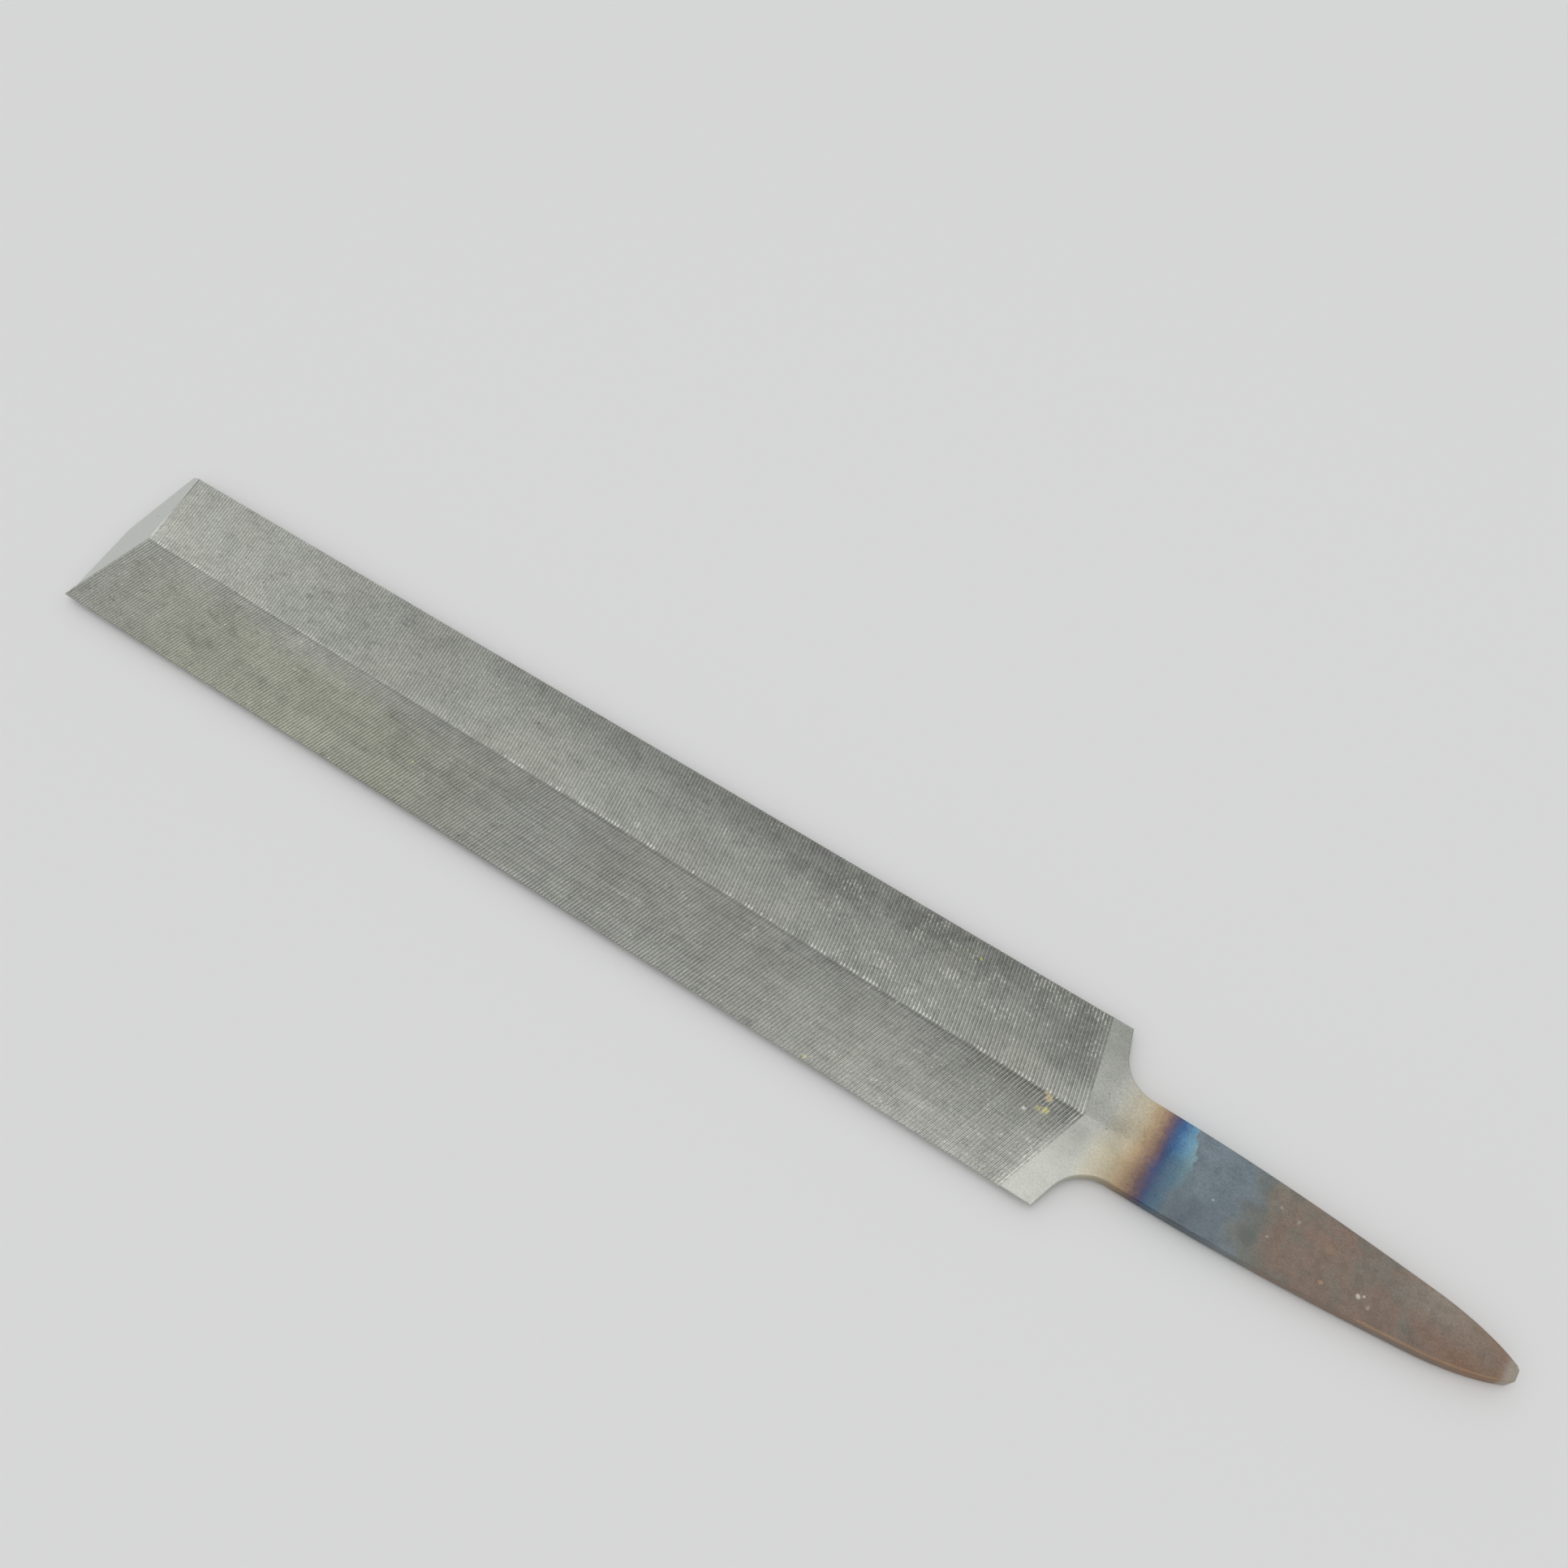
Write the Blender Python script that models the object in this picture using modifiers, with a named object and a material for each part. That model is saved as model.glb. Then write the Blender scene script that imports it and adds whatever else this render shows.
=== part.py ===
"""Feather-edge saw file, 100 mm: one bar of steel with chevron teeth on four facets and a tapered tang.

Metres, +Z up. The origin is the centre of the tang's blunt end, +X runs along the file to its tip, and the
plane z = 0 holds both thin edges.
"""

import math

import bmesh
import bpy
from mathutils import Matrix, Vector

MM = 0.001

# Lengths along X, from the tang's end.
TANG_LENGTH = 34.2 * MM
BODY_LENGTH = 100.0 * MM
NOSE_LENGTH = 0.6 * MM
TIP_BEVEL_LENGTH = 2.7 * MM

# The diamond section: half sizes, and half the thickness left at each thin edge.
HALF_WIDTH = 8.25 * MM
HALF_THICKNESS = 0.88 * MM
HALF_EDGE = 0.10 * MM

# Teeth: pitch along the axis, and depth at the ridge and at the thin edges.
TOOTH_PITCH = 0.306 * MM
TOOTH_DEPTH = 0.09 * MM
TOOTH_DEPTH_AT_EDGE = 0.07 * MM
EDGE_NOTCH = 0.03 * MM
CREST_AT = 0.7
TOOTH_ANGLE_FAR = 78.0
TOOTH_ANGLE_NEAR = 71.5
SMOOTH_ABOVE_CREST = 0.01 * MM

# Shoulders: a flank leaning back from the body's corner, then a fillet into the tang.
SHOULDER_LENGTH = 4.0 * MM
SHOULDER_LEAN = 0.33
SHOULDER_RADIUS = 3.5 * MM

# Half width of the tang at the fillet's end, where its taper sharpens, and at its blunt end.
TANG_HALF_WIDTH = 3.75 * MM
TAPER_X = 7.0 * MM
TAPER_HALF_WIDTH = 2.42 * MM
TAPER_SLOPE = 0.10
TANG_END_HALF_WIDTH = 0.55 * MM
TANG_END_SLOPE = 0.55

# How far the outline's handles reach along the tang, from the fillet, from the taper and from the end.
HANDLE_AT_FILLET = 9.0 * MM
HANDLE_TO_FILLET = 7.0 * MM
HANDLE_TO_END = 2.8 * MM
HANDLE_AT_END = 1.6 * MM

# A distance that welds only points at the same place.
WELD = 0.000001

HEEL_X = TANG_LENGTH
TIP_X = HEEL_X + BODY_LENGTH
NOSE_X = TIP_X + NOSE_LENGTH
SMOOTH_BACK_X = -5.0 * MM
FAR_SLOPE = 1.0 / math.tan(math.radians(TOOTH_ANGLE_FAR))
NEAR_SLOPE = 1.0 / math.tan(math.radians(TOOTH_ANGLE_NEAR))
CHEVRON_X = HEEL_X + 0.35 * TOOTH_PITCH

# Turns a section drawn in the XY plane to stand across the X axis.
SECTION_TO_X = Matrix(((0, 0, 1, 0), (1, 0, 0, 0), (0, 1, 0, 0), (0, 0, 0, 1)))

STEEL_COLOUR = (0.42, 0.42, 0.40, 1.0)


def clear_scene():
    for obj in list(bpy.data.objects):
        bpy.data.objects.remove(obj)


def new_collection(name, hidden):
    collection = bpy.data.collections.new(name)
    collection.hide_render = hidden
    bpy.context.scene.collection.children.link(collection)
    return collection


def object_from(name, bm, collection):
    bmesh.ops.recalc_face_normals(bm, faces=bm.faces)
    mesh = bpy.data.meshes.new(name)
    bm.to_mesh(mesh)
    bm.free()
    obj = bpy.data.objects.new(name, mesh)
    collection.objects.link(obj)
    return obj


def as_cutter(obj):
    obj.hide_render = True
    obj.display_type = "WIRE"
    return obj


def with_modifiers_applied(obj):
    """Replaces the object's mesh with the one its modifiers make."""
    graph = bpy.context.evaluated_depsgraph_get()
    evaluated = obj.evaluated_get(graph)
    mesh = bpy.data.meshes.new_from_object(evaluated)
    obj.modifiers.clear()
    obj.data = mesh
    return obj


def add_boolean(obj, other, operation):
    modifier = obj.modifiers.new(operation.lower() + " " + other.name, "BOOLEAN")
    modifier.solver = "EXACT"
    modifier.operation = operation
    modifier.object = other
    return obj


def section(half_width, half_thickness, half_edge):
    """Corners (y, z) of the six-sided section, from the top ridge round by the far edge."""
    return (
        (0.0, half_thickness),
        (-half_width, half_edge),
        (-half_width, -half_edge),
        (0.0, -half_thickness),
        (half_width, -half_edge),
        (half_width, half_edge),
    )


def chevron_x(x, y):
    """Where the tooth line that crosses the ridge at x reaches the distance y across the file."""
    slope = NEAR_SLOPE if y > 0.0 else FAR_SLOPE
    return x + slope * abs(y)


def chevron_ring(bm, x, corners):
    return [bm.verts.new((chevron_x(x, y), y, z)) for y, z in corners]


def bridge(bm, ring, following):
    for index, vert in enumerate(ring):
        other = (index + 1) % len(ring)
        bm.faces.new((vert, ring[other], following[other], following[index]))


def one_tooth(collection):
    """One pitch of the toothed bar: a slow rise to the crest, then a steep cutting face towards the tip."""
    crest = section(HALF_WIDTH, HALF_THICKNESS, HALF_EDGE)
    root = section(
        HALF_WIDTH - EDGE_NOTCH,
        HALF_THICKNESS - TOOTH_DEPTH,
        HALF_EDGE - TOOTH_DEPTH_AT_EDGE,
    )
    bm = bmesh.new()
    start = chevron_ring(bm, 0.0, root)
    middle = chevron_ring(bm, CREST_AT * TOOTH_PITCH, crest)
    end = chevron_ring(bm, TOOTH_PITCH, root)
    bridge(bm, start, middle)
    bridge(bm, middle, end)
    return object_from("toothed_bar", bm, collection)


def is_of_ring(edge, x):
    """Whether the edge is part of the chevron ring that crosses the ridge at x."""
    return all(abs(vert.co.x - chevron_x(x, vert.co.y)) < TOOTH_PITCH for vert in edge.verts)


def close_end(bm, x):
    """Closes the open ring that crosses the ridge at x with a fan to the axis."""
    hub = bm.verts.new((x, 0.0, 0.0))
    rim = [edge for edge in bm.edges if edge.is_boundary and is_of_ring(edge, x)]
    for edge in rim:
        bm.faces.new((edge.verts[0], edge.verts[1], hub))


def toothed_bar(collection):
    """The tooth repeated from inside the heel to past the tip, closed at both ends."""
    start_x = HEEL_X - 4.5 * TOOTH_PITCH
    bar = one_tooth(collection)
    count = math.ceil((NOSE_X - start_x) / TOOTH_PITCH) + 3
    array = bar.modifiers.new("teeth", "ARRAY")
    array.use_relative_offset = False
    array.use_constant_offset = True
    array.constant_offset_displace = (TOOTH_PITCH, 0.0, 0.0)
    array.count = count
    array.use_merge_vertices = True
    array.merge_threshold = WELD
    with_modifiers_applied(bar)
    bm = bmesh.new()
    bm.from_mesh(bar.data)
    bmesh.ops.translate(bm, verts=bm.verts, vec=(start_x, 0.0, 0.0))
    close_end(bm, start_x)
    close_end(bm, start_x + count * TOOTH_PITCH)
    bmesh.ops.recalc_face_normals(bm, faces=bm.faces)
    bm.to_mesh(bar.data)
    bm.free()
    return bar


def tip_envelope(collection):
    """The space inside the tip's four bevels, each through a body corner, a ridge end and the nose."""
    back_x = HEEL_X - 20.0 * MM
    half_y = 2.0 * HALF_WIDTH
    rise = TIP_BEVEL_LENGTH + NOSE_LENGTH
    side_slope = NOSE_LENGTH / HALF_WIDTH
    top_z = 4.0 * HALF_THICKNESS
    top_x = NOSE_X - rise * top_z / HALF_THICKNESS
    side_x = -side_slope * half_y
    bm = bmesh.new()
    for side in (-1.0, 0.0, 1.0):
        for height in (-1.0, 0.0, 1.0):
            x = (top_x if height else NOSE_X) + (side_x if side else 0.0)
            bm.verts.new((x, side * half_y, height * top_z))
            if side and height:
                bm.verts.new((back_x, side * half_y, height * top_z))
    bmesh.ops.convex_hull(bm, input=bm.verts)
    return as_cutter(object_from("tip_envelope", bm, collection))


def anchor(x, y, behind=None, ahead=None):
    """A point of the outline with its two handles as offsets. A corner has none."""
    return (Vector((x, y, 0.0)), behind, ahead)


def near_anchors():
    """The near side's outline, from the chevron's end round the shoulder to the tang's end."""
    edge = HALF_WIDTH + SMOOTH_ABOVE_CREST
    lean = math.atan(SHOULDER_LEAN)
    turn = math.radians(90.0) - lean
    reach = 4.0 / 3.0 * math.tan(turn / 4.0) * SHOULDER_RADIUS
    centre = Vector((HEEL_X - SHOULDER_LENGTH, TANG_HALF_WIDTH + SHOULDER_RADIUS))
    flank = Vector((-math.sin(lean), -math.cos(lean), 0.0))
    fillet_x = centre.x + SHOULDER_RADIUS * math.cos(lean)
    fillet_y = centre.y - SHOULDER_RADIUS * math.sin(lean)
    to_end = Vector((-1.0, -TAPER_SLOPE, 0.0))
    from_end = Vector((1.0, TANG_END_SLOPE, 0.0))
    return [
        anchor(chevron_x(CHEVRON_X, edge), edge),
        anchor(HEEL_X, edge),
        anchor(fillet_x, fillet_y, flank * -reach, flank * reach),
        anchor(
            centre.x,
            TANG_HALF_WIDTH,
            Vector((reach, 0.0, 0.0)),
            Vector((-HANDLE_AT_FILLET, 0.0, 0.0)),
        ),
        anchor(
            TAPER_X,
            TAPER_HALF_WIDTH,
            to_end * -HANDLE_TO_FILLET,
            to_end * HANDLE_TO_END,
        ),
        anchor(0.0, TANG_END_HALF_WIDTH, from_end * HANDLE_AT_END),
    ]


def mirrored(anchors):
    """The same outline on the far side, walked the other way."""
    flip = Vector((1.0, -1.0, 1.0))
    return [
        (point * flip, ahead and ahead * flip, behind and behind * flip)
        for point, behind, ahead in reversed(anchors)
    ]


def outline_curve(collection):
    """A filled 2D curve of the smooth heel and tang, thicker than the bar."""
    near = near_anchors()
    anchors = near + mirrored(near) + [anchor(CHEVRON_X, 0.0)]
    curve = bpy.data.curves.new("plan_outline", "CURVE")
    curve.dimensions = "2D"
    curve.fill_mode = "BOTH"
    curve.extrude = 2.0 * HALF_THICKNESS
    curve.resolution_u = 12
    spline = curve.splines.new("BEZIER")
    spline.bezier_points.add(len(anchors) - 1)
    spline.use_cyclic_u = True
    for point, (place, behind, ahead) in zip(spline.bezier_points, anchors):
        point.co = place
        point.handle_left_type = "FREE" if behind else "VECTOR"
        point.handle_right_type = "FREE" if ahead else "VECTOR"
        point.handle_left = place + (behind or Vector((0.0, 0.0, 0.0)))
        point.handle_right = place + (ahead or Vector((0.0, 0.0, 0.0)))
    obj = bpy.data.objects.new("plan_outline", curve)
    collection.objects.link(obj)
    return obj


def solid_from_curve(curve_object, name, collection):
    """The curve's solid as a mesh with its caps welded on, in place of the curve."""
    graph = bpy.context.evaluated_depsgraph_get()
    mesh = bpy.data.meshes.new_from_object(curve_object.evaluated_get(graph))
    bm = bmesh.new()
    bm.from_mesh(mesh)
    bmesh.ops.remove_doubles(bm, verts=bm.verts, dist=WELD)
    bpy.data.meshes.remove(mesh)
    place = curve_object.matrix_world.copy()
    bpy.data.objects.remove(curve_object)
    obj = object_from(name, bm, collection)
    obj.matrix_world = place
    return obj


def section_curve(collection):
    """A filled 2D curve of the diamond section, long enough to reach both ends of the smooth part."""
    corners = section(
        HALF_WIDTH + SMOOTH_ABOVE_CREST,
        HALF_THICKNESS + SMOOTH_ABOVE_CREST,
        HALF_EDGE + SMOOTH_ABOVE_CREST,
    )
    front_x = HEEL_X + 2.0 * HALF_WIDTH
    curve = bpy.data.curves.new("heel_and_tang", "CURVE")
    curve.dimensions = "2D"
    curve.fill_mode = "BOTH"
    curve.extrude = (front_x - SMOOTH_BACK_X) / 2.0
    spline = curve.splines.new("POLY")
    spline.points.add(len(corners) - 1)
    spline.use_cyclic_u = True
    for point, (y, z) in zip(spline.points, corners):
        point.co = (y, z, 0.0, 1.0)
    obj = bpy.data.objects.new("heel_and_tang", curve)
    obj.matrix_world = SECTION_TO_X @ Matrix.Translation((0.0, 0.0, (front_x + SMOOTH_BACK_X) / 2.0))
    collection.objects.link(obj)
    bpy.context.view_layer.update()
    return obj


def steel():
    material = bpy.data.materials.new("hardened steel")
    material.use_nodes = True
    shader = material.node_tree.nodes["Principled BSDF"]
    shader.inputs["Base Color"].default_value = STEEL_COLOUR
    shader.inputs["Metallic"].default_value = 1.0
    shader.inputs["Roughness"].default_value = 0.45
    return material


def build():
    clear_scene()
    visible = new_collection("feather_edge_saw_file", hidden=False)
    hidden = new_collection("cutters", hidden=True)
    plan = as_cutter(solid_from_curve(outline_curve(hidden), "plan_outline", hidden))
    heel = as_cutter(solid_from_curve(section_curve(hidden), "heel_and_tang", hidden))
    add_boolean(heel, plan, "INTERSECT")
    file = toothed_bar(visible)
    file.name = "feather_edge_file"
    add_boolean(file, tip_envelope(hidden), "INTERSECT")
    add_boolean(file, heel, "UNION")
    with_modifiers_applied(file)
    file.data.name = "feather_edge_file"
    file.data.materials.clear()
    file.data.materials.append(steel())


build()
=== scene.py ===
"""The look of the feather-edge saw file: toothed steel, smooth heel, heat-tinted and rusty tang."""

import math

import bpy
import numpy as np
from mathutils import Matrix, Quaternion, Vector


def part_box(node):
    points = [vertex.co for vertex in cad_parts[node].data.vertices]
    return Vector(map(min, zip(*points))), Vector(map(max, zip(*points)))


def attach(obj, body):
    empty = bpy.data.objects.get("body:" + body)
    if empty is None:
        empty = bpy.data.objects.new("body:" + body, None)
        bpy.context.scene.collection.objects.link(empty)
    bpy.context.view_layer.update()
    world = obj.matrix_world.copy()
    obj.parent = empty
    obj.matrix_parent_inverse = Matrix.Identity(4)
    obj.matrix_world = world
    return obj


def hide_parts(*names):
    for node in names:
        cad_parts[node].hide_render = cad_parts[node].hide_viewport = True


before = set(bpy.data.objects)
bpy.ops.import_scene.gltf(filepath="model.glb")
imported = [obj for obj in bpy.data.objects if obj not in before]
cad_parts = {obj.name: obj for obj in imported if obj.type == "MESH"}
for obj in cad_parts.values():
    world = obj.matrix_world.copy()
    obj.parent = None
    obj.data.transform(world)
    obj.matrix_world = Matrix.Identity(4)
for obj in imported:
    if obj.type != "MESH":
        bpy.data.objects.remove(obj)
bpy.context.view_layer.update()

NODE = "feather_edge_file"
MM = 0.001
SEED = 4

# The file's frame: x runs from the tang's end to the tip, and the shoulders stand at HEEL_X.
# y runs across the file, negative on the far half and positive on the near half.
# The teeth stay this inset clear of the CAD's box.
BOX_LOW, BOX_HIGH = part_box(NODE)
HEEL_X = 34.2 * MM
INSET = 0.01 * MM
HALF_WIDTH = BOX_HIGH.y - INSET
HALF_THICKNESS = BOX_HIGH.z - INSET
HALF_EDGE = 0.10 * MM
FACET_SLOPE = (HALF_THICKNESS - HALF_EDGE) / HALF_WIDTH

# The ridge was ground slightly askew: how far it stands off the middle at the heel and at the tip.
RIDGE_END_X = HEEL_X + 97.7 * MM
RIDGE_OFF_HEEL = 0.15 * MM
RIDGE_OFF_TIP = -0.35 * MM

# The ridge is rounded a little on the heel, and more from this share of the tang onwards.
RIDGE_ROUND_HEEL = 0.15 * MM
RIDGE_ROUND_TANG = 1.35 * MM
RIDGE_ROUND_AT = 0.4

# Teeth. Each has three rows: the place as a share of the pitch, and the share of the full depth there.
PITCH = 0.306 * MM
DEPTH = 0.085 * MM
DEPTH_AT_EDGE = 0.06 * MM
EDGE_NOTCH = 0.03 * MM
TOOTH_ROWS = ((0.0, 1.0), (0.42, 0.60), (0.74, 0.0))
TOOTH_COUNT = int((RIDGE_END_X - HEEL_X) / PITCH)
FIRST_TEETH = {0: 0.25, 1: 0.55, 2: 0.80}
PITCH_SCATTER = 0.012
DEPTH_SCATTER = 0.05

# Each tooth line's own waviness and burrs, and over how many columns their slow part swings.
LINE_WAVE = 0.012
LINE_WAVE_COLUMNS = 5.0
BURR_SCATTER = 0.035
BURR_WAVE = 0.06
BURR_WAVE_COLUMNS = 3.0

# How far a tooth line leans towards the tip for each unit across the file, at shares of the body's length.
LEAN_PLACES = (0.0, 0.25, 0.8, 1.0)
FAR_LEAN = (0.2126, 0.2126, 0.2126, 0.240)
NEAR_LEAN = (0.318, 0.350, 0.350, 0.320)

# How much of the depth is left where the teeth are worn towards the tip.
WEAR_PLACES = (0.3, 0.8, 1.0)
WEAR_LEFT = (1.0, 0.72, 0.50)

# The slanted tip: the share of the height left at its nose, and its corners. Each corner moves back
# from the nose's ring to the teeth, and is rounded off most at the nose.
NOSE_X = BOX_HIGH.x
NOSE_HEIGHT = 0.03
NEAR_CORNER_X = HEEL_X + 100.0 * MM
NEAR_CORNER_BACK = 0.07 * MM
NEAR_CORNER_ROUND = 0.05 * MM
FAR_CORNER_X = HEEL_X + 99.9 * MM
FAR_CORNER_BACK = 0.60 * MM
FAR_CORNER_ROUND = 0.12 * MM

# The tip's near border bows out, most at this share of the way to the edge.
BULGE = 0.32 * MM
BULGE_AT = 0.86

# The smooth heel, the shoulder's fillet and the tang's taper.
HEEL_GAP = 0.04 * MM
HEEL_RUN = 0.90 * MM
SHOULDER_LENGTH = 4.0 * MM
SHOULDER_LEAN = 0.33
SHOULDER_RADIUS = 3.5 * MM
TANG_HALF_WIDTH = 3.75 * MM
TAPER_X = 7.0 * MM
TAPER_HALF_WIDTH = 2.42 * MM
TAPER_SLOPE = 0.10
TANG_END_HALF_WIDTH = 0.55 * MM
TANG_END_SLOPE = 0.55

# How far the handles of the tang's two curves reach, in order from the fillet to the end.
FILLET_REACH = 9.0 * MM
TAPER_REACH = 7.0 * MM
ROUND_REACH = 2.8 * MM
END_REACH = 1.6 * MM

# The round into the tang's blunt end: how far from the end it starts, then pairs of millimetres
# from the end and what is taken off there, in millimetres of width and as a share of the height.
TANG_END_INSET = 0.14 * MM
TANG_END_ROUND = ((0.06, 0.03), (0.0, 0.12))

# How the rim is rounded off, on the smooth steel and on the teeth. Where the steel is thin, the round
# takes at most a share of the wall's height, and always leaves a share of it flat.
EDGE_ROUND = 0.10 * MM
TOOTH_EDGE_ROUND = 0.04 * MM
ROUND_MOST = 0.7
FLAT_LEAST = 0.2

# How finely the shape is divided.
FACET_COLUMNS = np.concatenate([[0.0, 0.014], np.linspace(0.05, 1.0, 18)])
TIP_STEPS = 12
HEEL_STEPS = 9
FLANK_STEPS = 8
FILLET_STEPS = 16
TAPER_STEPS = 60
TANG_END_STEPS = 28
SHARP_ANGLE = math.radians(7.0)

# What a row of points has when nothing else is said.
PLAIN_ROW = {"height": 1.0, "bulge": 0.0, "normal": (0.0, 1.0), "tooth": 0.0, "toothed": 0.0, "tip": 0.0}

rng = np.random.default_rng(SEED)


# ---------------------------------------------------------------- shape


def bezier(start, handle_a, handle_b, end, count):
    """Points of a curve from start to end, drawn towards its two handles."""
    t = np.linspace(0.0, 1.0, count)[:, None]
    points = [np.array(p, float) for p in (start, handle_a, handle_b, end)]
    weights = ((1 - t) ** 3, 3 * (1 - t) ** 2 * t, 3 * (1 - t) * t**2, t**3)
    return sum(weight * point for weight, point in zip(weights, points))


def shoulder_outline():
    """Points (x, y) of one side from the body's corner to the tang."""
    lean = math.atan(SHOULDER_LEAN)
    centre = np.array([HEEL_X - SHOULDER_LENGTH, TANG_HALF_WIDTH + SHOULDER_RADIUS])
    angles = np.linspace(-lean, -math.pi / 2, FILLET_STEPS)
    arc = centre + SHOULDER_RADIUS * np.column_stack([np.cos(angles), np.sin(angles)])
    steps = np.linspace(0.0, 1.0, FLANK_STEPS)[:-1, None]
    flank = np.array([HEEL_X, HALF_WIDTH]) * (1 - steps) + arc[0] * steps
    return np.vstack([flank, arc])


def tang_outline():
    """Points (x, y) of one side from the end of the fillet to the tang's end."""
    fillet = np.array([HEEL_X - SHOULDER_LENGTH, TANG_HALF_WIDTH])
    taper = np.array([TAPER_X, TAPER_HALF_WIDTH])
    end = np.array([0.0, TANG_END_HALF_WIDTH])
    along = np.array([1.0, TAPER_SLOPE])
    into_end = np.array([1.0, TANG_END_SLOPE])
    first = bezier(fillet, fillet - (FILLET_REACH, 0.0), taper + TAPER_REACH * along, taper, TAPER_STEPS)
    second = bezier(taper, taper - ROUND_REACH * along, end + END_REACH * into_end, end, TANG_END_STEPS)
    return np.vstack([first[1:], second[1:]])


def outward_normals(points):
    """Unit normals of an outline walked from the body towards the tang's end, on the positive y side."""
    run = np.gradient(points, axis=0)
    normals = np.column_stack([run[:, 1], -run[:, 0]])
    return normals / np.linalg.norm(normals, axis=1)[:, None]


def smooth_noise(count, spacing):
    """A smooth random line of values between about -1 and 1."""
    knots = rng.normal(0.0, 0.5, int(count / spacing) + 4)
    places = np.arange(count) / spacing
    low = places.astype(int)
    part = places - low
    part = part * part * (3.0 - 2.0 * part)
    return knots[low] * (1 - part) + knots[low + 1] * part


def tip_rows():
    """Rows of the slanted faces at the tip, from the nose back to the teeth."""
    rows = []
    for t in np.arange(TIP_STEPS + 1) / TIP_STEPS:
        row = dict(PLAIN_ROW)
        row["x"] = NOSE_X + (RIDGE_END_X - NOSE_X) * t
        row["near"] = (NEAR_CORNER_X - NEAR_CORNER_BACK * t, HALF_WIDTH - NEAR_CORNER_ROUND * (1 - t))
        row["far"] = (FAR_CORNER_X - FAR_CORNER_BACK * t, HALF_WIDTH - FAR_CORNER_ROUND * (1 - t))
        row["height"] = NOSE_HEIGHT + (1.0 - NOSE_HEIGHT) * t
        row["bulge"] = BULGE * t
        row["tip"] = 1.0
        rows.append(row)
    return rows


def tooth_row(tooth, share, x, drop):
    """One row of points along a tooth line, sunk by a share of the full depth."""
    t = (x - HEEL_X) / (RIDGE_END_X - HEEL_X)
    row = dict(PLAIN_ROW)
    row["x"] = x
    row["far"] = (x + np.interp(t, LEAN_PLACES, FAR_LEAN) * HALF_WIDTH, HALF_WIDTH)
    row["near"] = (x + np.interp(t, LEAN_PLACES, NEAR_LEAN) * HALF_WIDTH, HALF_WIDTH)
    row["drop"] = drop * np.interp(t, WEAR_PLACES, WEAR_LEFT)
    row["tooth"] = tooth + share
    row["toothed"] = 1.0
    return row


def toothed_rows():
    """Rows from the tip back to the start of the teeth, no two teeth quite alike."""
    rows = []
    for tooth in reversed(range(TOOTH_COUNT)):
        shift = rng.normal(0.0, PITCH_SCATTER) * PITCH
        depth = (1.0 + rng.normal(0.0, DEPTH_SCATTER)) * FIRST_TEETH.get(tooth, 1.0)
        for share, drop in reversed(TOOTH_ROWS):
            x = HEEL_X + (tooth + share) * PITCH + shift * (share > 0)
            rows.append(tooth_row(tooth, share, x, drop * depth))
    return rows


def add_wander(rows):
    """Gives every tooth line a slight waviness along its length and uneven burrs."""
    width = len(FACET_COLUMNS)
    for row in rows:
        row["lean"] = smooth_noise(width, LINE_WAVE_COLUMNS) * LINE_WAVE * PITCH
        scatter = rng.normal(0.0, BURR_SCATTER, width)
        row["burr"] = scatter + smooth_noise(width, BURR_WAVE_COLUMNS) * BURR_WAVE


def heel_rows():
    """Rows of the smooth heel, from the teeth to the body's corners."""
    rows = []
    for t in np.arange(HEEL_STEPS) / HEEL_STEPS:
        row = dict(PLAIN_ROW)
        row["x"] = HEEL_X - HEEL_GAP - HEEL_RUN * t
        row["near"] = (HEEL_X + NEAR_LEAN[0] * HALF_WIDTH * (1 - t), HALF_WIDTH)
        row["far"] = (HEEL_X + FAR_LEAN[0] * HALF_WIDTH * (1 - t), HALF_WIDTH)
        rows.append(row)
    return rows


def tang_rows():
    """Rows round the shoulders and along the tang, to its end."""
    shoulder = shoulder_outline()
    tang = tang_outline()
    outline = np.vstack([shoulder, tang])
    heel_end = HEEL_X - HEEL_GAP - HEEL_RUN
    middles = np.linspace(heel_end, HEEL_X - SHOULDER_LENGTH, len(shoulder))
    middles = np.concatenate([middles, tang[:, 0]])
    rows = []
    for x, point, normal in zip(middles, outline, outward_normals(outline)):
        row = dict(PLAIN_ROW)
        row.update(x=x, near=tuple(point), far=tuple(point), normal=tuple(normal))
        rows.append(row)
    return rows


def close_tang_end(rows):
    """Moves the tang's last row in a little, and adds the rows that round it into the blunt end."""
    last = rows[-1]
    y = last["near"][1]
    for inset, cut in TANG_END_ROUND:
        row = dict(last)
        side = (inset * MM, y - cut * MM)
        row.update(x=inset * MM, near=side, far=side, height=1.0 - cut, normal=(0.0, 1.0))
        rows.append(row)
    side = (TANG_END_INSET, y)
    last.update(x=TANG_END_INSET, near=side, far=side)
    return rows


def file_rows():
    teeth = toothed_rows()
    add_wander(teeth)
    return tip_rows() + teeth + heel_rows() + close_tang_end(tang_rows())


def ridge_y(x):
    """Where the ridge stands across the file."""
    return np.interp(x, (0.0, HEEL_X, RIDGE_END_X), (0.0, RIDGE_OFF_HEEL, RIDGE_OFF_TIP))


def ridge_round(row):
    """How far the ridge is rounded off on the smooth steel behind the teeth."""
    if row["toothed"] or row["tip"]:
        return 0.0
    back = (HEEL_X - row["x"]) / HEEL_X
    return np.interp(back, (0.0, RIDGE_ROUND_AT), (RIDGE_ROUND_HEEL, RIDGE_ROUND_TANG))


def facet_height(row, y):
    """Height of the smooth facet at the distance y from the ridge."""
    rounded = np.hypot(y, ridge_round(row))
    return (HALF_THICKNESS + INSET - FACET_SLOPE * rounded) * row["height"]


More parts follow.
